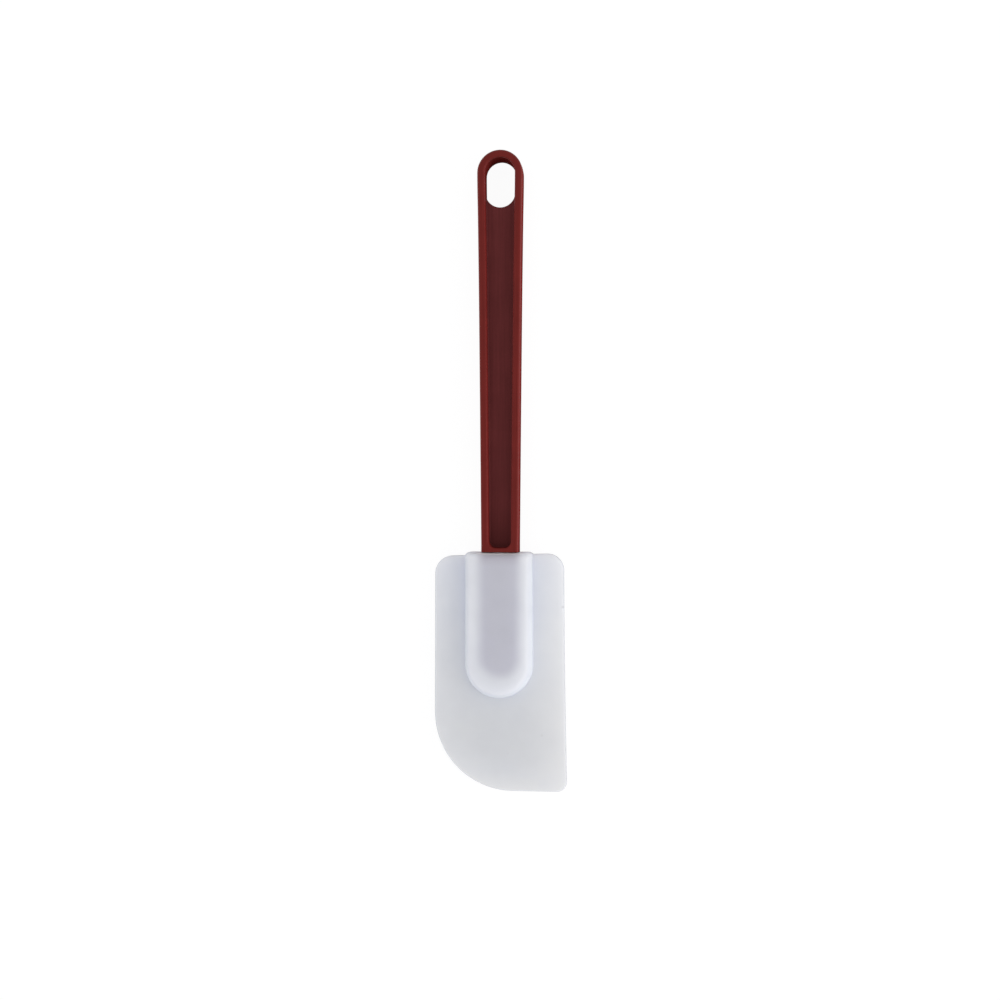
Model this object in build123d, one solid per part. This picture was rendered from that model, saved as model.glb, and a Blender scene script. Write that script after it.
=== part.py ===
from build123d import *
import os

# A kitchen spatula lying on its back, in millimetres.
# A stiff moulded handle of I section, with a hanging hole, ends in a plain tang.
# A flexible moulded blade holds that tang in the socket of its boss.
# X runs across, Y runs from the working edge to the hanging end, Z runs up.
# The origin is on the surface below, under the middle of the whole length.

os.makedirs("parts", exist_ok=True)

# Whole spatula
overall_length = 254.0
blade_length = 94.95
cut_overrun = 1.0

# Handle: outline and section, with how far its walls lean over their height
neck_width = 14.9
end_width = 18.14
handle_thickness = 10.0
rim_width = 3.15
rim_outer_radius = 1.15
rim_inner_radius = 0.95
web_thickness = 2.6
web_fillet = 0.7
side_wall_lean = 0.09
channel_wall_lean = 0.07

# Handle: how its sides widen, as pairs of height share and widening share
flare_shares = ((0.33, 0.267), (0.66, 0.568), (0.88, 0.827))

# Handle: lower end of the channel, and the hanging hole that takes its upper end
channel_foot_gap = 1.85
channel_corner_radius = 2.6
hole_length = 19.1

# Tang inside the blade's boss
tang_length = 50.0
tang_width = 14.7
tang_end_width = 13.9
tang_thickness = 7.0
tang_end_thickness = 6.2
tang_edge_radius = 0.9
socket_clearance = 0.05

# Blade: outline of the plate, whose left side has the long heel curve
blade_width = 53.0
shoulder_step = 0.45
shoulder_drop = 1.18
left_side_lean = 0.3
right_side_lean = 1.24
right_side_hollow = 0.29
heel_radius = 31.0
toe_radius = 4.1
left_shoulder_radius = 7.2
right_shoulder_radius = 6.7

# Blade: thickness of the plate, in its middle and at its sides
plate_top_thickness = 4.6
plate_top_side_thickness = 2.4
plate_edge_thickness = 2.0
plate_edge_side_thickness = 1.5
plate_edge_radius = 0.5

# Blade: boss round the tang, with the draft of its walls in degrees
boss_width = 26.65
boss_offset = -0.45
boss_length = 57.6
boss_thickness = 14.0
boss_draft = 2.0
boss_corner_radius = 2.2
boss_edge_radius = 3.0
boss_root_fillet = 0.5

# Places that follow from the sizes
tip_y = -overall_length / 2
mouth_y = tip_y + blade_length
neck_foot_y = mouth_y + socket_clearance
end_centre_y = (overall_length - end_width) / 2
channel_top_y = overall_length / 2 - rim_width
channel_foot_y = mouth_y + channel_foot_gap
hole_end_radius = end_width / 2 - rim_width
hole_end_y = channel_top_y - hole_length + hole_end_radius
middle_z = boss_thickness / 2
at_middle = Pos(0, 0, middle_z)


def strip_outline(inset):
    """Outline of the handle from above, drawn in by an inset, with its round end."""
    foot = Vector(neck_width / 2 - inset, neck_foot_y)
    head = Vector(end_width / 2 - inset, end_centre_y)
    points = [foot]
    for height_share, widening_share in flare_shares:
        x = foot.X + (head.X - foot.X) * widening_share
        y = foot.Y + (head.Y - foot.Y) * height_share
        points.append(Vector(x, y))
    points.append(head)
    side = Spline(*points, tangents=[points[1] - foot, Vector(0, 1)])
    round_end = ThreePointArc(head, (0, head.Y + head.X), (-head.X, head.Y))
    foot_line = Line((-foot.X, foot.Y), foot)
    return make_face([foot_line, side, round_end, mirror(side, Plane.YZ)])


def channel_outline(lean):
    """Outline of the channel between the rims, with its rounded foot, leaned out."""
    foot_y = channel_foot_y - lean
    keep = Pos(0, foot_y) * Rectangle(
        end_width, overall_length / 2 - foot_y, align=(Align.CENTER, Align.MIN)
    )
    channel = strip_outline(rim_width - lean) & keep
    foot_corners = channel.vertices().sort_by(Axis.Y)[:2]
    return fillet(foot_corners, channel_corner_radius)


def hole_outline(channel):
    """Outline of the hanging hole: the channel's upper end, closed by a round end below."""
    lower_end = Pos(0, hole_end_y) * Circle(hole_end_radius)
    rest = Pos(0, hole_end_y) * Rectangle(
        end_width, overall_length / 2 - hole_end_y, align=(Align.CENTER, Align.MIN)
    )
    return channel & (lower_end + rest)


def tang_form(grow):
    """The tang, tapered to its round end, grown on all sides by a clearance."""
    root_y = mouth_y + cut_overrun
    end_y = mouth_y - tang_length - grow
    root_share = 1 + cut_overrun / tang_length
    end_half = tang_end_width / 2 + grow
    root_half = end_half + (tang_width - tang_end_width) / 2 * root_share
    end_rise = tang_end_thickness / 2 + grow
    root_rise = end_rise + (tang_thickness - tang_end_thickness) / 2 * root_share
    corner_y = end_y + end_half
    plan = make_face(
        [
            Line((-root_half, root_y), (root_half, root_y)),
            Line((root_half, root_y), (end_half, corner_y)),
            ThreePointArc((end_half, corner_y), (0, end_y), (-end_half, corner_y)),
            Line((-end_half, corner_y), (-root_half, root_y)),
        ]
    )
    profile = Plane.YZ * Polygon(
        (root_y, -root_rise),
        (root_y, root_rise),
        (end_y, end_rise),
        (end_y, -end_rise),
        align=None,
    )
    bar = extrude(plan, amount=root_rise, both=True)
    bar &= extrude(profile, amount=root_half, both=True)
    long_edges = []
    for pick in (-1, 0):
        face = bar.faces().sort_by(Axis.Z)[pick]
        long_edges += [e for e in face.edges() if e.center().Y < mouth_y]
    return fillet(long_edges, tang_edge_radius + grow)


def make_handle():
    """Handle of I section with its rims, web, hanging hole, neck and tang."""
    half_thickness = handle_thickness / 2
    face_outline = Pos(0, 0, half_thickness) * strip_outline(side_wall_lean)
    front = loft([strip_outline(0), face_outline], ruled=True)
    handle = front + mirror(front, Plane.XY)

    floor_outline = channel_outline(0)
    mouth_outline = channel_outline(channel_wall_lean)
    pocket = loft(
        [
            Pos(0, 0, web_thickness / 2) * floor_outline,
            Pos(0, 0, half_thickness + cut_overrun) * mouth_outline,
        ],
        ruled=True,
    )
    pocket = fillet(pocket.faces().sort_by(Axis.Z)[0].edges(), web_fillet)
    handle -= pocket
    handle -= mirror(pocket, Plane.XY)
    handle -= extrude(hole_outline(floor_outline), amount=half_thickness, both=True)

    for pick in (-1, 0):
        rim = handle.faces().sort_by(Axis.Z)[pick]
        handle = fillet(rim.inner_wires()[0].edges(), rim_inner_radius)
        rim = handle.faces().sort_by(Axis.Z)[pick]
        outer = [e for e in rim.outer_wire().edges() if e.center().Y > mouth_y + cut_overrun]
        handle = fillet(outer, rim_outer_radius)

    handle += tang_form(0)
    return at_middle * handle


def plate_outline():
    """Outline of the blade from above, with the heel, the toe and its shoulders."""
    half = blade_width / 2
    shoulder_y = mouth_y - shoulder_step
    left_top = Vector(-half + left_side_lean, shoulder_y - shoulder_drop)
    right_top = Vector(half - right_side_lean, shoulder_y)
    toe = Vector(half, tip_y)
    heel = Vector(-half, tip_y)
    right_middle = (right_top + toe) / 2 - Vector(right_side_hollow, 0)
    outline = make_face(
        [
            Line(left_top, heel),
            Line(heel, toe),
            ThreePointArc(toe, right_middle, right_top),
            Line(right_top, left_top),
        ]
    )
    corners = (
        (heel, heel_radius),
        (toe, toe_radius),
        (left_top, left_shoulder_radius),
        (right_top, right_shoulder_radius),
    )
    for place, radius in corners:
        corner = outline.vertices().sort_by_distance(place)[0]
        outline = fillet(corner, radius)
    return outline


def lens_section(y, middle_thickness, side_thickness):
    """Section of the crowned plate across the whole width, at one place along it."""
    half = blade_width / 2 + cut_overrun
    middle = middle_thickness / 2
    side = side_thickness / 2
    front = ThreePointArc((-half, side), (0, middle), (half, side))
    back = ThreePointArc((half, -side), (0, -middle), (-half, -side))
    edges = [front, Line((half, side), (half, -side)), back, Line((-half, -side), (-half, side))]
    return Plane.XZ.offset(-y) * make_face(edges)


def make_plate():
    """The blade's plate: crowned across and thinning towards its working edge."""
    thick_end = lens_section(mouth_y, plate_top_thickness, plate_top_side_thickness)
    thin_end = lens_section(tip_y, plate_edge_thickness, plate_edge_side_thickness)
    plate = loft([thick_end, thin_end], ruled=True)
    plate &= extrude(plate_outline(), amount=plate_top_thickness, both=True)
    front = plate.faces().sort_by(Axis.Z)[-1]
    back = plate.faces().sort_by(Axis.Z)[0]
    return fillet(front.edges() + back.edges(), plate_edge_radius)


def make_boss():
    """The boss on both faces of the blade, round the tang and a little to the left."""
    half = boss_width / 2
    foot_y = mouth_y - boss_length + half
    outline = make_face(
        [
            Line((half, foot_y), (half, mouth_y)),
            Line((half, mouth_y), (-half, mouth_y)),
            Line((-half, mouth_y), (-half, foot_y)),
            ThreePointArc((-half, foot_y), (0, foot_y - half), (half, foot_y)),
        ]
    )
    outline = fillet(outline.vertices().sort_by(Axis.Y)[-2:], boss_corner_radius)
    outline = Pos(boss_offset, 0) * outline
    front = extrude(outline, amount=boss_thickness / 2, dir=(0, 0, 1), taper=boss_draft)
    front = fillet(front.faces().sort_by(Axis.Z)[-1].edges(), boss_edge_radius)
    return front + mirror(front, Plane.XY)


def make_blade():
    """Blade in one moulding: the plate, the boss and the socket for the tang."""
    plate = make_plate()
    boss = make_boss()
    blade = plate + boss
    blade = fillet(new_edges(plate, boss, combined=blade), boss_root_fillet)
    blade -= tang_form(socket_clearance)
    return at_middle * blade


handle = make_handle()
blade = make_blade()
export_step(handle, "parts/handle.step")
export_step(blade, "parts/blade.step")
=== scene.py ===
import math

import bmesh
import bpy
from mathutils import Matrix, Vector, geometry


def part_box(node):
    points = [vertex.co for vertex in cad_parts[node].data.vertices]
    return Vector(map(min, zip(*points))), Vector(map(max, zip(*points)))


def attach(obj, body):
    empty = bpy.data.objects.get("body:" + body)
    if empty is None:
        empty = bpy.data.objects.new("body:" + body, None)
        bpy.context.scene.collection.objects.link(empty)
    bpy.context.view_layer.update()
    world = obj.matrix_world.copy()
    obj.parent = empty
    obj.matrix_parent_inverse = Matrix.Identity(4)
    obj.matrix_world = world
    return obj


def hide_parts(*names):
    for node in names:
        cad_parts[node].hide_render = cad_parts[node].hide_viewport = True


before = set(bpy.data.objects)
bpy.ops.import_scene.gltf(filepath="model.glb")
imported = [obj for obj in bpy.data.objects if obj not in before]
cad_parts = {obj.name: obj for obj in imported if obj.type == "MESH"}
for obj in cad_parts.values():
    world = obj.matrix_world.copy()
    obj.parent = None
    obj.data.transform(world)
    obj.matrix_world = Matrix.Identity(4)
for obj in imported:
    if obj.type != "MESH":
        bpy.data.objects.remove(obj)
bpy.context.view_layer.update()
mm = 0.001

# The camera hangs half a metre over the table, a little to the right of the spatula, and is
# aimed at its middle line, with the hanging end up in the picture.
camera_height = 500 * mm
camera_across = 48.03 * mm
camera_along = -11.41 * mm
aim_across = -0.294 * mm
aim_height = 7 * mm
lens_length = 44.8

camera_data = bpy.data.cameras.new("table_camera")
camera_data.lens = lens_length
camera = bpy.data.objects.new("table_camera", camera_data)
camera.location = (camera_across, camera_along, camera_height)
camera_lean = math.atan2(camera_across - aim_across, camera_height - aim_height)
camera.rotation_euler = (0, camera_lean, 0)
bpy.context.collection.objects.link(camera)
bpy.context.scene.camera = camera


# The table is a wide matt white board in a pale room with bright walls on the left and the
# right. It throws light up under the blade, and it keeps the soft shadow of the spatula.
board_half_side = 4000 * mm
board_steps = 8
board_white = (0.8, 0.8, 0.8, 1)
board_seen = (0.1, 0.1, 0.1, 1)
board_lift = 0.93
ceiling_light = (0.72, 0.72, 0.735, 1)
side_wall_light = (0.92, 0.92, 0.94, 1)
plain_white = (1, 1, 1, 1)


def add_node(tree, kind, inputs, **settings):
    """Adds a node to a tree, with its settings and with a value or link for each input."""
    node = tree.nodes.new(kind)
    for setting, value in settings.items():
        setattr(node, setting, value)
    for socket, value in inputs.items():
        if isinstance(value, bpy.types.NodeSocket):
            tree.links.new(value, node.inputs[socket])
        else:
            node.inputs[socket].default_value = value
    return node


def combine(tree, operation, *values):
    """One step of arithmetic between two or three sockets or numbers."""
    return add_node(tree, "ShaderNodeMath", dict(enumerate(values)), operation=operation).outputs[0]


def mix_colours(tree, share, first, second, blend="MIX"):
    """Blends two colours by a share."""
    inputs = {0: share, 6: first, 7: second}
    return add_node(tree, "ShaderNodeMix", inputs, data_type="RGBA", blend_type=blend).outputs[2]


def mix_surfaces(tree, share, first, second):
    """Blends two finished surfaces by a share."""
    inputs = {0: share, 1: first.outputs[0], 2: second.outputs[0]}
    return add_node(tree, "ShaderNodeMixShader", inputs)


def seen_directly(tree):
    """One where the camera, a mirror or a clear part looks straight at the surface."""
    path = add_node(tree, "ShaderNodeLightPath", {})
    seen = combine(tree, "MAXIMUM", path.outputs["Is Camera Ray"], path.outputs["Is Glossy Ray"])
    return combine(tree, "MAXIMUM", seen, path.outputs["Is Transmission Ray"])


board_mesh = bmesh.new()
bmesh.ops.create_grid(board_mesh, x_segments=board_steps, y_segments=board_steps, size=board_half_side)
board_data = bpy.data.meshes.new("table_board")
board_mesh.to_mesh(board_data)
board_mesh.free()
board = bpy.data.objects.new("table_board", board_data)
bpy.context.collection.objects.link(board)

board_paint = bpy.data.materials.new("matt_white_board")
board_paint.use_nodes = True
paint = board_paint.node_tree
paint.nodes.clear()
paint_coat = add_node(paint, "ShaderNodeBsdfDiffuse", {"Color": board_white})
paint_shade = add_node(paint, "ShaderNodeBsdfDiffuse", {"Color": board_seen})
paint_lift = add_node(paint, "ShaderNodeEmission", {"Strength": board_lift})
paint_seen = add_node(paint, "ShaderNodeAddShader", {0: paint_shade.outputs[0], 1: paint_lift.outputs[0]})
paint_mix = mix_surfaces(paint, seen_directly(paint), paint_coat, paint_seen)
add_node(paint, "ShaderNodeOutputMaterial", {"Surface": paint_mix.outputs[0]})
board_data.materials.append(board_paint)

room = bpy.data.worlds.new("pale_room")
room.use_nodes = True
bpy.context.scene.world = room
walls = room.node_tree
walls.nodes.clear()
direction = add_node(walls, "ShaderNodeTexCoord", {}).outputs["Generated"]
sideways = add_node(walls, "ShaderNodeSeparateXYZ", {0: direction}).outputs["X"]
on_side_wall = combine(walls, "MULTIPLY", sideways, sideways)
room_shade = mix_colours(walls, on_side_wall, ceiling_light, side_wall_light)
room_light = add_node(walls, "ShaderNodeBackground", {"Color": room_shade})
room_white = add_node(walls, "ShaderNodeBackground", {"Color": plain_white})
wall_mix = mix_surfaces(walls, seen_directly(walls), room_light, room_white)
add_node(walls, "ShaderNodeOutputWorld", {"Surface": wall_mix.outputs[0]})
bpy.context.scene.view_settings.view_transform = "Standard"


# Two large soft boxes stand low beside the table. The strong one is on the right, a little
# towards the blade, and the weak one on the left keeps the shadows open.
lamp_aim = Vector((0, 0, 0))
main_box_place = Vector((1070 * mm, -300 * mm, 500 * mm))
main_box_width = 500 * mm
main_box_length = 700 * mm
main_box_watts = 4.6
left_box_place = Vector((-1100 * mm, 0, 500 * mm))
left_box_width = 800 * mm
left_box_length = 1100 * mm
left_box_watts = 1.0


def soft_box(name, place, width, length, watts):
    """A rectangular lamp with a soft front, turned towards the middle of the table."""
    lamp = bpy.data.lights.new(name, "AREA")
    lamp.shape = "RECTANGLE"
    lamp.size = width
    lamp.size_y = length
    lamp.energy = watts
    stand = bpy.data.objects.new(name, lamp)
    stand.location = place
    stand.rotation_euler = (lamp_aim - stand.location).to_track_quat("-Z", "Y").to_euler()
    bpy.context.collection.objects.link(stand)


soft_box("main_soft_box", main_box_place, main_box_width, main_box_length, main_box_watts)
soft_box("left_soft_box", left_box_place, left_box_width, left_box_length, left_box_watts)


# The handle is one stiff moulding of dark red glass-filled nylon: an I section with round
# rims, a thin web and a round hanging end, drawn out below into a plain tang. A two-part
# steel mould gives its walls their draft and leaves a fine parting line round its sides.
handle_low, handle_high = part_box("handle")
blade_low, blade_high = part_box("blade")
mouth_y = blade_high.y
middle_z = (handle_low.z + handle_high.z) / 2
half_thickness = (handle_high.z - handle_low.z) / 2
end_half_width = handle_high.x
end_centre_y = handle_high.y - end_half_width
socket_clearance = 0.05 * mm
neck_foot_y = mouth_y + socket_clearance
neck_half_width = 7.45 * mm
flare_shares = ((0, 0), (0.33, 0.267), (0.66, 0.568), (0.88, 0.827), (1, 1))

parting_ridge = 0.04 * mm
parting_half_height = 0.07 * mm
side_wall_lean = 0.09 * mm
rim_outer_radius = 1.15 * mm
rim_inner_radius = 0.95 * mm
rim_width = 3.15 * mm
channel_wall_lean = 0.07 * mm
web_half_thickness = 1.3 * mm
web_fillet = 0.7 * mm
channel_foot_gap = 1.85 * mm
channel_foot_y = mouth_y + channel_foot_gap
channel_corner_radius = 2.6 * mm
web_point_spacing = 3.5 * mm

side_steps = 44
end_steps = 40
corner_steps = 8
foot_steps = 6
rounding_steps = 7
least_point_gap = 0.001 * mm
merge_gap = 0.0001 * mm
crease_angle = math.radians(35)
outwards, upwards, inwards, downwards = 180, 90, 0, 270


def flare_slope(place):
    """Slope of the widening at one of its points, level at the hanging end."""
    if place == len(flare_shares) - 1:
        return 0
    before = flare_shares[max(place - 1, 0)]
    after = flare_shares[place + 1]
    return (after[1] - before[1]) / (after[0] - before[0])


def handle_half_width(y):
    """Half the width of the handle at one place along it, widening in a smooth line."""
    height = min((y - neck_foot_y) / (end_centre_y - neck_foot_y), 1)
    place = 0
    while place < len(flare_shares) - 2 and flare_shares[place + 1][0] < height:
        place += 1
    start, start_share = flare_shares[place]
    stop, stop_share = flare_shares[place + 1]
    span = stop - start
    t = (height - start) / span
    widening = start_share * (2 * t**3 - 3 * t**2 + 1)
    widening += stop_share * (3 * t**2 - 2 * t**3)
    widening += flare_slope(place) * span * (t**3 - 2 * t**2 + t)
    widening += flare_slope(place + 1) * span * (t**3 - t**2)
    return neck_half_width + (end_half_width - neck_half_width) * widening


def tongue_ring(half_width_at, foot_y, centre_y, corner, square=False):
    """Outline with a straight foot, two sides and a round end, as (x, y) points."""
    onward = math.copysign(1, centre_y - foot_y)
    start_y = foot_y + onward * corner
    corner_x = half_width_at(start_y) - corner
    right = []
    for step in range(corner_steps):
        angle = math.pi / 2 * step / corner_steps
        across, down = math.sin(angle), math.cos(angle)
        reach = corner / max(across, down) if square else corner
        right.append((corner_x + reach * across, start_y - onward * reach * down))
    for step in range(side_steps):
        y = start_y + (centre_y - start_y) * step / side_steps
        right.append((half_width_at(y), y))
    end_radius = half_width_at(centre_y)
    round_end = []
    for step in range(end_steps + 1):
        angle = math.pi * step / end_steps
        round_end.append((end_radius * math.cos(angle), centre_y + onward * end_radius * math.sin(angle)))
    left = [(-x, y) for x, y in reversed(right)]
    foot = [(corner_x * (2 * step / foot_steps - 1), foot_y) for step in range(1, foot_steps)]
    ring = right + round_end + left + foot
    return ring if onward > 0 else ring[::-1]


def edge_arc(centre_inset, centre_rise, radius, first_angle, last_angle):
    """Section of a rounding or a fillet as (inset, rise) pairs, between two directions."""
    section = []
    for step in range(rounding_steps + 1):
        angle = math.radians(first_angle + (last_angle - first_angle) * step / rounding_steps)
        section.append((centre_inset + radius * math.cos(angle), centre_rise + radius * math.sin(angle)))
    return section


def fill_face(solid, ring, side, rise_at, spacing):
    """Closes a ring with a face of triangles whose inner points follow the face's rise."""
    outline = [Vector(corner.co[:2]) for corner in ring]
    low = Vector((min(p.x for p in outline), min(p.y for p in outline)))
    high = Vector((max(p.x for p in outline), max(p.y for p in outline)))
    inner = []
    for row in range(1, math.ceil((high.y - low.y) / spacing)):
        for column in range(1, math.ceil((high.x - low.x) / spacing)):
            point = low + Vector((column, row)) * spacing
            if min((point - corner).length for corner in outline) > spacing / 2:
                inner.append(point)
    filled = geometry.delaunay_2d_cdt(outline + inner, [], [range(len(outline))], 1, merge_gap)
    points, triangles, sources = filled[0], filled[2], filled[3]
    corners = {}
    for triangle in triangles:
        for place in triangle:
            if place not in corners:
                point, source = points[place], sources[place][0]
                if source < len(ring):
                    corners[place] = ring[source]
                else:
                    rise = side * rise_at(point.x, point.y)
                    corners[place] = solid.verts.new((point.x, point.y, middle_z + rise))
        solid.faces.new([corners[place] for place in triangle])


def moulded_solid(name, rings, rise_at, spacing):
    """A closed solid with like faces front and back, from the rings of one half.

    The first ring is the parting line, and the last one is the edge of the open face.
    """
    solid = bmesh.new()
    parting_line = [solid.verts.new((x, y, middle_z)) for x, y, rise in rings[0]]
    for side in (1, -1):
        lower = parting_line
        for ring in rings[1:]:
            upper = [solid.verts.new((x, y, middle_z + side * rise)) for x, y, rise in ring]
            for here in range(len(ring)):
                after = (here + 1) % len(ring)
                solid.faces.new((lower[here], lower[after], upper[after], upper[here]))
            lower = upper
        fill_face(solid, lower, side, rise_at, spacing)
    bmesh.ops.recalc_face_normals(solid, faces=solid.faces)
    data = bpy.data.meshes.new(name)
    solid.to_mesh(data)
    solid.free()
    piece = bpy.data.objects.new(name, data)
    bpy.context.collection.objects.link(piece)
    return piece


def work_with(piece, tool, operation):
    """Joins a second solid to a piece, or cuts its form out, and puts the second one away."""
    step = piece.modifiers.new(operation.lower(), "BOOLEAN")
    step.operation = operation
    step.solver = "EXACT"
    step.object = tool
    worked = bpy.data.meshes.new_from_object(piece.evaluated_get(bpy.context.evaluated_depsgraph_get()))
    piece.modifiers.clear()
    for data in (piece.data, tool.data):
        if data == piece.data:
            piece.data = worked
        bpy.data.meshes.remove(data)
    cleaned = bmesh.new()
    cleaned.from_mesh(worked)
    bmesh.ops.remove_doubles(cleaned, verts=cleaned.verts, dist=least_point_gap)
    bmesh.ops.dissolve_degenerate(cleaned, edges=cleaned.edges, dist=least_point_gap)
    cleaned.to_mesh(worked)
    cleaned.free()


def smooth_faces(piece):
    """Lets light run smoothly over roundings, with flats flat and real edges sharp."""
    for face in piece.data.polygons:
        face.use_smooth = True
    piece.data.set_sharp_from_angle(angle=crease_angle)
    even = piece.modifiers.new("even_shading", "WEIGHTED_NORMAL")
    even.keep_sharp = True


def outer_ring(inset, rise):
    """Ring round the outside of the handle, square at the neck."""
    ring = tongue_ring(
        lambda y: handle_half_width(y) - inset,
        neck_foot_y,
        end_centre_y,
        channel_corner_radius,
        square=True,
    )
    return [(x, y, rise) for x, y in ring]


def channel_ring(inset, rise):
    """Ring inside the rims, with a round-cornered foot above the neck."""
    drawn_in = inset - rim_width
    ring = tongue_ring(
        lambda y: handle_half_width(y) - inset,
        channel_foot_y + drawn_in,
        end_centre_y,
        channel_corner_radius - drawn_in,
    )
    return [(x, y, rise) for x, y in ring]


parting_section = ((0, 0), (0, parting_half_height), (parting_ridge, parting_half_height + parting_ridge))
outer_section = list(parting_section)
outer_section += edge_arc(
    side_wall_lean + rim_outer_radius,
    half_thickness - rim_outer_radius,
    rim_outer_radius,
    outwards,
    upwards,
)
channel_section = edge_arc(
    rim_width - channel_wall_lean - rim_inner_radius,
    half_thickness - rim_inner_radius,
    rim_inner_radius,
    upwards,
    inwards,
)
channel_section += edge_arc(
    rim_width + web_fillet, web_half_thickness + web_fillet, web_fillet, outwards, downwards
)
handle_rings = [outer_ring(inset, rise) for inset, rise in outer_section]
handle_rings += [channel_ring(inset, rise) for inset, rise in channel_section]
handle = moulded_solid(
    "handle_moulding", handle_rings, lambda x, y: web_half_thickness, web_point_spacing
)


# The tang is the tapered bar at the handle's lower end that the blade grips. It is plain,
# with its long edges rounded, and belongs to the same moulding as the handle.
tang_end_y = handle_low.y
tang_root_overlap = 1.0 * mm
tang_half_width = 7.35 * mm
tang_end_half_width = 6.95 * mm
tang_half_thickness = 3.5 * mm
tang_end_half_thickness = 3.1 * mm
tang_edge_radius = 0.9 * mm
tang_root_corner = 1.5 * mm


def tang_bar(name, grow):
    """The tang as a solid of its own, grown on all sides by a clearance."""
    end_y = tang_end_y - grow
    centre_y = end_y + tang_end_half_width + grow

    def along(y):
        """Share of the way from the blade's mouth to the end of the tang."""
        return (mouth_y - y) / (mouth_y - tang_end_y)

    def half_width(y):
        share = min(along(y), along(centre_y)) / along(centre_y)
        return tang_half_width + (tang_end_half_width - tang_half_width) * share + grow

    def face_rise(x, y):
        return tang_half_thickness + (tang_end_half_thickness - tang_half_thickness) * along(y) + grow

    radius = tang_edge_radius + grow
    rings = []
    for inset, drop in [(0, None)] + edge_arc(radius, -radius, radius, outwards, upwards):
        ring = tongue_ring(
            lambda y: half_width(y) - inset,
            mouth_y + tang_root_overlap,
            centre_y,
            tang_root_corner,
            square=True,
        )
        rings.append([(x, y, 0 if drop is None else face_rise(x, y) + drop) for x, y in ring])
    return moulded_solid(name, rings, face_rise, web_point_spacing)


work_with(handle, tang_bar("tang", 0), "UNION")


# The hanging hole takes the whole upper end of the channel. The web stops at its round
# lower end, and the bare rims run on round it as one ring.
hole_length = 19.1 * mm
wall_overrun = 0.02 * mm
punch_overrun = 0.1 * mm
hole_end_radius = end_half_width - rim_width
hole_end_y = end_centre_y + 2 * hole_end_radius - hole_length
hole_arc_steps = 48
hole_side_steps = 16


def within_rims(x, y):
    """A point of the hole, brought in to the channel's wall where it would cut a rim."""
    limit = handle_half_width(y) - rim_width + wall_overrun
    return (min(max(x, -limit), limit), y)


hole_outline = []
for onward, centre_y, other_y, radius in (
    (1, end_centre_y, hole_end_y, hole_end_radius + wall_overrun),
    (-1, hole_end_y, end_centre_y, hole_end_radius),
):
    for step in range(hole_arc_steps + 1):
        angle = math.pi * step / hole_arc_steps
        x, y = radius * math.cos(angle), radius * math.sin(angle)
        hole_outline.append(within_rims(onward * x, centre_y + onward * y))
    for step in range(1, hole_side_steps):
        y = centre_y + (other_y - centre_y) * step / hole_side_steps
        hole_outline.append(within_rims(-onward * hole_end_radius, y))
punch_rise = web_half_thickness + web_fillet + punch_overrun
hole_rings = [[(x, y, rise) for x, y in hole_outline] for rise in (0, punch_rise)]
hole_punch = moulded_solid("hole_punch", hole_rings, lambda x, y: punch_rise, web_point_spacing)
work_with(handle, hole_punch, "DIFFERENCE")
smooth_faces(handle)
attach(handle, "handle")
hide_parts("handle")


# Glass-filled nylon is a deep brownish red. The polished steel of the mould leaves the rims
# satin, and its matt floor leaves the web dull and greyer, with fine streaks along the flow.
# The colour also carries painted light, a lighter red on faces that turn sideways, and painted
# shade, darker towards the foot of the channel.
rim_red = (0.116, 0.0125, 0.0105, 1)
painted_side_light_red = (0.195, 0.022, 0.019, 1)
web_red = (0.086, 0.0178, 0.0188, 1)
web_foot_shade_red = (0.043, 0.0089, 0.0094, 1)
gleam_red = (1.0, 0.24, 0.22, 1)
foot_shade_length = 20.0 * mm
nylon_gloss = 0.45
streak_width = 0.5 * mm
streak_stretch = 0.02
grain_size = 0.10 * mm
cloud_size = 9.0 * mm
noise_low = 0.3
noise_high = 0.7
streak_contrast = 0.12
cloud_contrast = 0.07
web_roughness = 0.62
rim_polish = 0.18
grain_roughness = 0.06
streak_relief = 0.6
nylon_bump = 0.6
web_top_rise = 1.6 * mm
rim_foot_rise = 3.6 * mm
steep_face = 0.1
flat_face = 0.5
side_start = 0.5
side_full = 0.95
bump_depth = 0.012 * mm


def spread(tree, value, low, high, out_low, out_high, interpolation="SMOOTHSTEP"):
    """Turns a value between two marks into another range, held at both ends."""
    return add_node(
        tree,
        "ShaderNodeMapRange",
        {"Value": value, 1: low, 2: high, 3: out_low, 4: out_high},
        interpolation_type=interpolation,
    ).outputs[0]


def grain(tree, place, size, detail=2.0):
    """Soft cloudy noise with features of a real size, as a value from zero to one."""
    inputs = {"Vector": place, "Scale": 1 / size, "Detail": detail}
    return add_node(tree, "ShaderNodeTexNoise", inputs).outputs["Fac"]


def varied(tree, noise, middle, reach):
    """A value that wanders with the noise round its middle, by its reach at most."""
    return spread(tree, noise, noise_low, noise_high, middle - reach, middle + reach, "LINEAR")


def upright_share(tree, level):
    """One on walls that stand upright, and nothing on faces that lie flat."""
    return spread(tree, level, steep_face, flat_face, 1, 0)


def gloss_off_walls(tree, upright, gloss):
    """The gloss of faces that lie flat, which upright walls lack."""
    return combine(tree, "MULTIPLY", combine(tree, "SUBTRACT", 1, upright), gloss)


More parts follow.
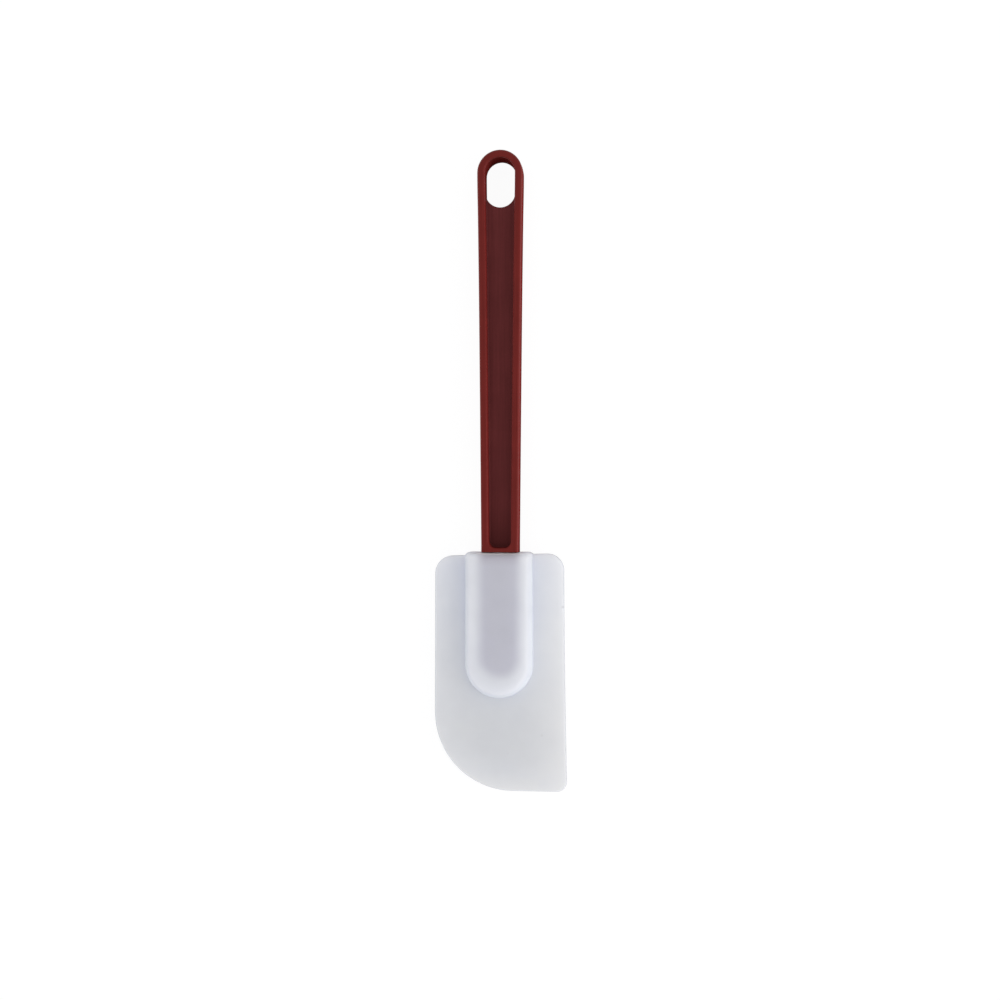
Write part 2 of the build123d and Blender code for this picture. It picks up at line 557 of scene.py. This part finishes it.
nylon = bpy.data.materials.new("red_glass_filled_nylon")
nylon.use_nodes = True
red = nylon.node_tree
red.nodes.clear()
coordinates = add_node(red, "ShaderNodeTexCoord", {}).outputs
place = coordinates["Object"]
across, along, up = add_node(red, "ShaderNodeSeparateXYZ", {0: place}).outputs
facing = add_node(red, "ShaderNodeSeparateXYZ", {0: coordinates["Normal"]}).outputs
upright = upright_share(red, combine(red, "ABSOLUTE", facing["Z"]))
rise = combine(red, "ABSOLUTE", combine(red, "SUBTRACT", up, middle_z))
on_rim = combine(red, "MAXIMUM", spread(red, rise, web_top_rise, rim_foot_rise, 0, 1), upright)
drawn_out = add_node(
    red, "ShaderNodeVectorMath", {0: place, 1: (1, streak_stretch, 1)}, operation="MULTIPLY"
).outputs[0]
streaks = grain(red, drawn_out, streak_width)
clouds = grain(red, place, cloud_size)
fine_grain = grain(red, place, grain_size)

# Painted shade: the web darkens towards the foot of the channel, beside the neck and the boss.
foot_shade_share = spread(red, along, channel_foot_y + foot_shade_length, channel_foot_y, 0, 1)
web_colour = mix_colours(red, foot_shade_share, web_red, web_foot_shade_red)
# Painted light: faces that turn sideways get a lighter red, on both sides alike.
side_light_share = spread(red, combine(red, "ABSOLUTE", facing["X"]), side_start, side_full, 0, 1)
rim_and_side_light_colour = mix_colours(red, side_light_share, rim_red, painted_side_light_red)
red_with_painted_light = mix_colours(red, on_rim, web_colour, rim_and_side_light_colour)
streak_depth = varied(red, streaks, 1, streak_contrast)
cloud_depth = varied(red, clouds, 1, cloud_contrast)
depth = combine(red, "MULTIPLY", streak_depth, cloud_depth)
shaded_red = mix_colours(red, 1.0, red_with_painted_light, depth, "MULTIPLY")

satin = combine(red, "SUBTRACT", web_roughness, combine(red, "MULTIPLY", on_rim, rim_polish))
roughness = combine(red, "ADD", satin, varied(red, fine_grain, 0, grain_roughness))
relief = combine(red, "ADD", fine_grain, combine(red, "MULTIPLY", streaks, streak_relief))
bump = add_node(red, "ShaderNodeBump", {"Height": relief, "Distance": bump_depth, "Strength": nylon_bump})
nylon_skin = add_node(
    red,
    "ShaderNodeBsdfPrincipled",
    {
        "Base Color": shaded_red,
        "Roughness": roughness,
        "Specular IOR Level": gloss_off_walls(red, upright, nylon_gloss),
        "Specular Tint": gleam_red,
        "Normal": bump.outputs[0],
    },
)
add_node(red, "ShaderNodeOutputMaterial", {"Surface": nylon_skin.outputs[0]})
handle.data.materials.clear()
handle.data.materials.append(nylon)


# The blade is one soft moulding of white silicone. Its flat plate is thickest down the
# middle and thins to its sides and its working edge, with one long round heel on the left.
blade_half_width = 26.5 * mm
shoulder_step = 0.45 * mm
shoulder_y = mouth_y - shoulder_step
shoulder_drop = 1.18 * mm
left_side_lean = 0.3 * mm
right_side_lean = 1.24 * mm
right_side_hollow = 0.29 * mm
heel_radius = 31.0 * mm
toe_radius = 4.1 * mm
left_shoulder_radius = 7.2 * mm
right_shoulder_radius = 6.7 * mm
crown_half_width = 27.5 * mm
plate_top_half = 2.3 * mm
plate_top_side_half = 1.2 * mm
plate_edge_half = 1.0 * mm
plate_edge_side_half = 0.75 * mm
plate_edge_radius = 0.5 * mm
plate_point_spacing = 2.0 * mm
arc_step = math.radians(5)
edge_y = blade_low.y


def points_between(start, end, spacing):
    """Even points on the straight run from one point to another, without the two ends."""
    run = end - start
    pieces = math.ceil(run.length / spacing)
    return [start + run * piece / pieces for piece in range(1, pieces)]


def rounded_outline(corners, spacing):
    """Closed outline through (x, y, radius) corners, as points in their order."""
    outline = []
    for place, (x, y, radius) in enumerate(corners):
        corner = Vector((x, y))
        before = Vector(corners[place - 1][:2]) - corner
        after = Vector(corners[(place + 1) % len(corners)][:2]) - corner
        opening = before.angle(after)
        middle = (before.normalized() + after.normalized()).normalized()
        centre = corner + middle * radius / math.sin(opening / 2)
        first = corner + before.normalized() * radius / math.tan(opening / 2)
        turn = math.pi - opening
        steps = math.ceil(turn / arc_step)
        turns = [Matrix.Rotation(turn * step / steps, 2) for step in range(steps + 1)]
        arc = [centre + part @ (first - centre) for part in turns]
        if outline:
            outline += points_between(outline[-1], arc[0], spacing)
        outline += arc
    return outline + points_between(outline[-1], outline[0], spacing)


def drawn_in(outline, inset):
    """The outline with each point moved inwards, square to its two neighbours."""
    moved = []
    for place, point in enumerate(outline):
        run = outline[(place + 1) % len(outline)] - outline[place - 1]
        moved.append(point + Vector((-run.y, run.x)).normalized() * inset)
    return moved


def plate_rise(x, y):
    """Half the plate's thickness at one place, with its crown across and its taper along."""
    share = (mouth_y - y) / (mouth_y - edge_y)
    middle = plate_top_half + (plate_edge_half - plate_top_half) * share
    side = plate_top_side_half + (plate_edge_side_half - plate_top_side_half) * share
    return middle - (middle - side) * (x / crown_half_width) ** 2


plate_corners = (
    (blade_half_width, edge_y, toe_radius),
    (blade_half_width - right_side_lean, shoulder_y, right_shoulder_radius),
    (-blade_half_width + left_side_lean, shoulder_y - shoulder_drop, left_shoulder_radius),
    (-blade_half_width, edge_y, heel_radius),
)
plate_outline = rounded_outline(plate_corners, plate_point_spacing)
side_middle_y = (edge_y + shoulder_y) / 2
side_half_length = (shoulder_y - edge_y) / 2
for point in plate_outline:
    if point.x > blade_half_width - right_side_lean - toe_radius:
        point.x -= right_side_hollow * max(1 - ((point.y - side_middle_y) / side_half_length) ** 2, 0)
    point.x = min(point.x, blade_high.x)

plate_rings = []
for inset, height in parting_section:
    plate_rings.append([(p.x, p.y, height) for p in drawn_in(plate_outline, inset)])
plate_edge = edge_arc(
    plate_edge_radius + parting_ridge, -plate_edge_radius, plate_edge_radius, outwards, upwards
)
for inset, drop in plate_edge:
    plate_rings.append([(p.x, p.y, plate_rise(p.x, p.y) + drop) for p in drawn_in(plate_outline, inset)])
blade = moulded_solid("blade_moulding", plate_rings, plate_rise, plate_point_spacing)


# The boss is the thick tongue of the same silicone that stands out on both faces of the
# plate and wraps the tang. Its socket is moulded to the tang's form.
boss_half_width = 13.325 * mm
boss_offset = -0.45 * mm
boss_half_thickness = 7.0 * mm
boss_length = 57.6 * mm
boss_draft_angle = math.radians(2)
boss_corner_radius = 2.2 * mm
boss_least_corner = 0.3 * mm
boss_edge_radius = 3.0 * mm
boss_root_fillet = 0.5 * mm
root_sweep = 65
root_depth = 0.05 * mm
root_fade = 0.8 * mm
boss_centre_y = mouth_y - boss_length + boss_half_width
boss_point_spacing = 3.0 * mm


def boss_ring(inset, spread_out=0):
    """Outline of the boss, drawn in all round or spread out at its root."""

    def half_width(y):
        fade = min(max((shoulder_y - root_fade - y) / root_fade, 0), 1)
        return boss_half_width - inset + spread_out * fade

    corner = max(boss_corner_radius - inset, boss_least_corner)
    ring = tongue_ring(half_width, mouth_y - inset, boss_centre_y, corner)
    return [(x + boss_offset, y) for x, y in ring]


boss_rings = [[(x, y, 0) for x, y in boss_ring(0, boss_root_fillet)]]
root_section = edge_arc(
    -boss_root_fillet, boss_root_fillet, boss_root_fillet, inwards, inwards - root_sweep
)
boss_rings.append([(x, y, plate_rise(x, y) - root_depth) for x, y in boss_ring(0, boss_root_fillet)])
for inset, height in reversed(root_section):
    boss_rings.append([(x, y, plate_rise(x, y) + height) for x, y in boss_ring(0, -inset)])
wall_top = boss_half_thickness - boss_edge_radius
edge_inset = math.tan(boss_draft_angle) * wall_top
boss_edge = edge_arc(edge_inset + boss_edge_radius, wall_top, boss_edge_radius, outwards, upwards)
for inset, height in boss_edge:
    boss_rings.append([(x, y, height) for x, y in boss_ring(inset)])
boss = moulded_solid("boss", boss_rings, lambda x, y: boss_half_thickness, boss_point_spacing)
work_with(blade, boss, "UNION")
work_with(blade, tang_bar("socket", socket_clearance), "DIFFERENCE")
smooth_faces(blade)
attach(blade, "blade")
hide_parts("blade")


# White silicone lets light in and scatters it. Its colour also carries painted light and shade:
# lighter where the plate is thin, darker where it thickens towards the mouth and on its rounded
# rim, and a lilac painted shade over the red tang in the boss. Its skin is an even satin, with
# three small specks moulded into it.
plate_white = (0.82, 0.857, 0.99, 1)
thin_edge_light_white = (0.91, 0.93, 0.995, 1)
thick_shade = 0.905
thick_shade_length = 70.0 * mm
plate_rim_shade_white = (0.46, 0.485, 0.535, 1)
plate_rim_top = 1.2 * mm
plate_rim_end = 1.6 * mm
boss_white = (0.70, 0.727, 0.785, 1)
boss_flat_light_white = (0.765, 0.78, 0.83, 1)
tang_shade_lilac = (0.62, 0.62, 0.70, 1)
mouth_shade_lilac = (0.47, 0.445, 0.51, 1)
mouth_lip_light_pink = (0.98, 0.86, 0.91, 1)
mouth_lip_width = 1.3 * mm
mouth_lip_full = 0.4 * mm
silicone_gloss = 0.3
silicone_roughness = 0.52
skin_roughness = 0.06
skin_contrast = 0.02
skin_bump = 0.5
tang_shade_end = 2.0 * mm
tang_blur_outside = 3.0 * mm
tang_blur_inside = 2.4 * mm
mouth_shade_length = 6.0 * mm
rounded_face = 0.7
left_side_light_share = 0.35
edge_light_share = 0.5
boss_foot_rise = 2.3 * mm
boss_wall_rise = 4.0 * mm
working_edge_width = 10.0 * mm
# Each speck by its place across and along, its radius and its grey.
blade_specks = ((16.46, -104.6, 0.9, 0.93), (24.8, -53.7, 0.9, 0.78), (3.0, -112.0, 0.8, 0.97))
skin_grain_size = 0.15 * mm
skin_cloud_size = 12.0 * mm
skin_bump_depth = 0.008 * mm
light_travel = 12.0 * mm
scattered_share = 1.0
even_colours = (1.0, 1.0, 1.0)
onto_face = (1, 1, 0)

silicone = bpy.data.materials.new("white_silicone_rubber")
silicone.use_nodes = True
soft = silicone.node_tree
soft.nodes.clear()
coordinates = add_node(soft, "ShaderNodeTexCoord", {}).outputs
place = coordinates["Object"]
facing = add_node(soft, "ShaderNodeSeparateXYZ", {0: coordinates["Normal"]}).outputs
level = combine(soft, "ABSOLUTE", facing["Z"])
upright = upright_share(soft, level)
on_flat = spread(soft, level, rounded_face, 1, 0, 1)
across, along, up = add_node(soft, "ShaderNodeSeparateXYZ", {0: place}).outputs
# Painted shade: the boss is lilac over the red tang, and the shade stays when the tang is drawn out.
shade_end_y = tang_end_y + tang_end_half_width + tang_shade_end
past_tang = combine(soft, "MAXIMUM", combine(soft, "SUBTRACT", shade_end_y, along), 0)
across_squared = combine(soft, "MULTIPLY", across, across)
past_squared = combine(soft, "MULTIPLY", past_tang, past_tang)
from_tang = combine(soft, "SQRT", combine(soft, "ADD", across_squared, past_squared))
tang_shade_share = spread(
    soft, from_tang, tang_half_width + tang_blur_outside, tang_half_width - tang_blur_inside, 0, 1
)
# Painted light: the plate is lighter towards its thin sides, far more on the right than on the left, and
# towards the working edge.
from_middle = combine(soft, "DIVIDE", across, blade_half_width)
thin_side_light = combine(soft, "MAXIMUM", from_middle, combine(soft, "MULTIPLY", from_middle, -left_side_light_share))
at_side = combine(soft, "MULTIPLY", thin_side_light, thin_side_light)
at_edge = spread(soft, along, edge_y + working_edge_width, edge_y, 0, 1)
painted_thin_light = combine(soft, "MAXIMUM", at_side, combine(soft, "MULTIPLY", at_edge, edge_light_share))
rise = combine(soft, "ABSOLUTE", combine(soft, "SUBTRACT", up, middle_z))
on_boss = spread(soft, rise, boss_foot_rise, boss_wall_rise, 0, 1)
skin_clouds = grain(soft, place, skin_cloud_size)
skin_grain = grain(soft, place, skin_grain_size)

# Painted shade: the plate darkens towards the mouth, where it is thick.
thick_shade_depth = spread(soft, along, mouth_y, mouth_y - thick_shade_length, thick_shade, 1, "LINEAR")
plate_face = mix_colours(soft, painted_thin_light, plate_white, thin_edge_light_white)
plate_face = mix_colours(soft, 1.0, plate_face, thick_shade_depth, "MULTIPLY")
# Painted shade: the plate's rounded rim, low down where it turns sideways, is darker.
low_down = spread(soft, rise, plate_rim_top, plate_rim_end, 1, 0)
plate_rim_shade_share = combine(soft, "MULTIPLY", combine(soft, "SUBTRACT", 1, on_flat), low_down)
plate_colour = mix_colours(soft, plate_rim_shade_share, plate_face, plate_rim_shade_white)
# Painted shade: the boss darkens towards the mouth, beside the handle's neck.
mouth_shade_share = spread(soft, along, mouth_y - mouth_shade_length, mouth_y, 0, 1)
inner_shade = mix_colours(soft, mouth_shade_share, tang_shade_lilac, mouth_shade_lilac)
# Painted light: a pink light on the lip at the mouth, where the red neck meets the boss.
lip_light_share = spread(soft, along, mouth_y - mouth_lip_width, mouth_y - mouth_lip_full, 0, 1)
shade_and_lip_light_colour = mix_colours(soft, lip_light_share, inner_shade, mouth_lip_light_pink)
# Painted light and shade: the boss is lighter on its flats than on its roundings.
boss_light_and_shade_colour = mix_colours(soft, on_flat, boss_white, boss_flat_light_white)
boss_colour = mix_colours(soft, tang_shade_share, boss_light_and_shade_colour, shade_and_lip_light_colour)
blade_colour = mix_colours(soft, on_boss, plate_colour, boss_colour)
cloud_depth = varied(soft, skin_clouds, 1, skin_contrast)
specked = mix_colours(soft, 1.0, blade_colour, cloud_depth, "MULTIPLY")
flat_place = add_node(
    soft, "ShaderNodeVectorMath", {0: place, 1: onto_face}, operation="MULTIPLY"
).outputs[0]
for x, y, radius, grey in blade_specks:
    distance = add_node(
        soft, "ShaderNodeVectorMath", {0: flat_place, 1: (x * mm, y * mm, 0)}, operation="DISTANCE"
    ).outputs["Value"]
    on_speck = spread(soft, distance, radius * mm, 0, 0, 1)
    specked = mix_colours(soft, on_speck, specked, (grey, grey, grey, 1), "MULTIPLY")
roughness = varied(soft, skin_grain, silicone_roughness, skin_roughness)
bump = add_node(
    soft, "ShaderNodeBump", {"Height": skin_grain, "Distance": skin_bump_depth, "Strength": skin_bump}
)
silicone_skin = add_node(
    soft,
    "ShaderNodeBsdfPrincipled",
    {
        "Base Color": specked,
        "Roughness": roughness,
        "Specular IOR Level": gloss_off_walls(soft, upright, silicone_gloss),
        "Subsurface Weight": scattered_share,
        "Subsurface Radius": even_colours,
        "Subsurface Scale": light_travel,
        "Normal": bump.outputs[0],
    },
)
add_node(soft, "ShaderNodeOutputMaterial", {"Surface": silicone_skin.outputs[0]})
blade.data.materials.clear()
blade.data.materials.append(silicone)
